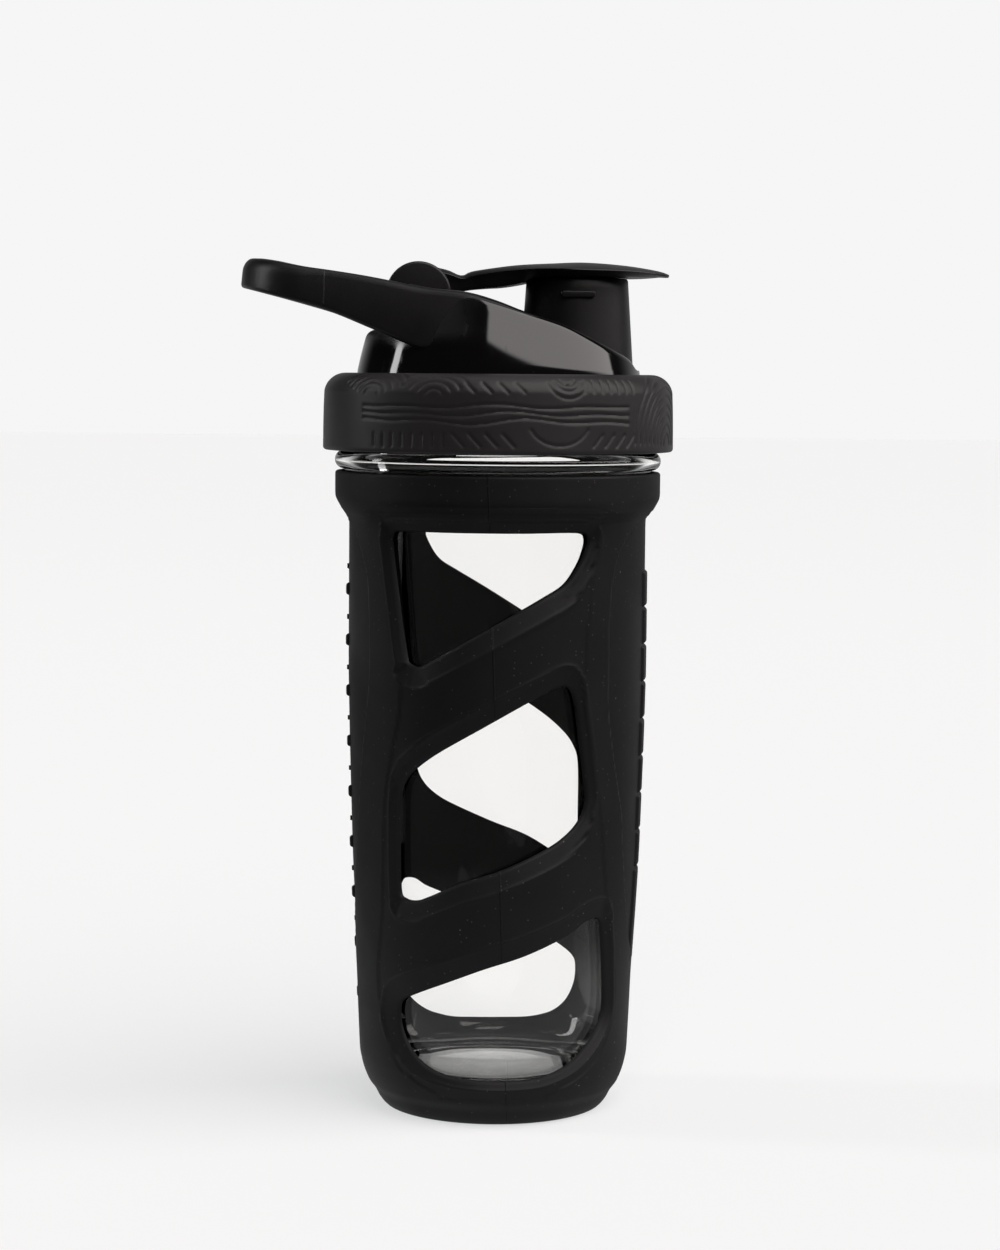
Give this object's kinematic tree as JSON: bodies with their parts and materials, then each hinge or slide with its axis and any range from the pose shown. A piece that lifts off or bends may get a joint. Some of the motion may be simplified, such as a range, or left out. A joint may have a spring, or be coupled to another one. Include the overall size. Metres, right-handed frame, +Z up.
{
  "type": "shaker bottle",
  "caption": "Clear shaker bottle in a windowed rubber sleeve, with a screw lid, a carry loop, a drinking spout closed by a hinged flip cap, and a mixing grid clipped under the lid.",
  "frame": {"origin": "centre of the sleeve's flat base, which is the face the bottle stands on", "axes": "+Z up along the bottle's axis, +X towards the spout and the cap's thumb lip, -X towards the carry loop"},
  "size_m": [0.1231, 0.1, 0.2421],
  "materials": {
    "clear_glass": "clear, polished",
    "sleeve_rubber": "matt moulded silicone rubber",
    "gloss_black": "high gloss",
    "soft_touch": "matt, moulded relief",
    "satin_black": "satin",
    "seal_silicone": "soft silicone",
    "pin_steel": "drawn stainless wire"
  },
  "bodies": {
    "bottle": {"vessel": "clear_glass", "sleeve": "sleeve_rubber"},
    "seal": {"lid_gasket": "seal_silicone"},
    "lid": {"lid_base": "gloss_black", "lid_shell": "gloss_black", "grip_collar": "soft_touch", "carry_loop": "satin_black", "spout": "satin_black", "hinge_ears": "satin_black", "hinge_pin": "pin_steel"},
    "cap": {"flip_cap": "satin_black", "spout_plug": "seal_silicone"},
    "grid": {"strainer": "satin_black"}
  },
  "joints": [
    {"name": "lid_rise", "type": "slide", "parent": "bottle", "child": "seal", "axis": [0, 0, 1], "range_m": [0, 0.024]},
    {"name": "lid_turn", "type": "hinge", "parent": "seal", "child": "lid", "pos_m": [0, 0, 0.1892], "axis": [0, 0, 1], "range_deg": [0, 1080]},
    {"name": "cap_hinge", "type": "hinge", "parent": "lid", "child": "cap", "pos_m": [-0.0227, 0, 0.2327], "axis": [0, -1, 0], "range_deg": [0, 150]},
    {"name": "strainer_pull", "type": "slide", "parent": "lid", "child": "grid", "axis": [0, 0, -1], "range_m": [0, 0.0145]}
  ],
  "couplings": [
    {"joint": "lid_rise", "follows": "lid_turn", "m_per_rad": 0.001273}
  ]
}
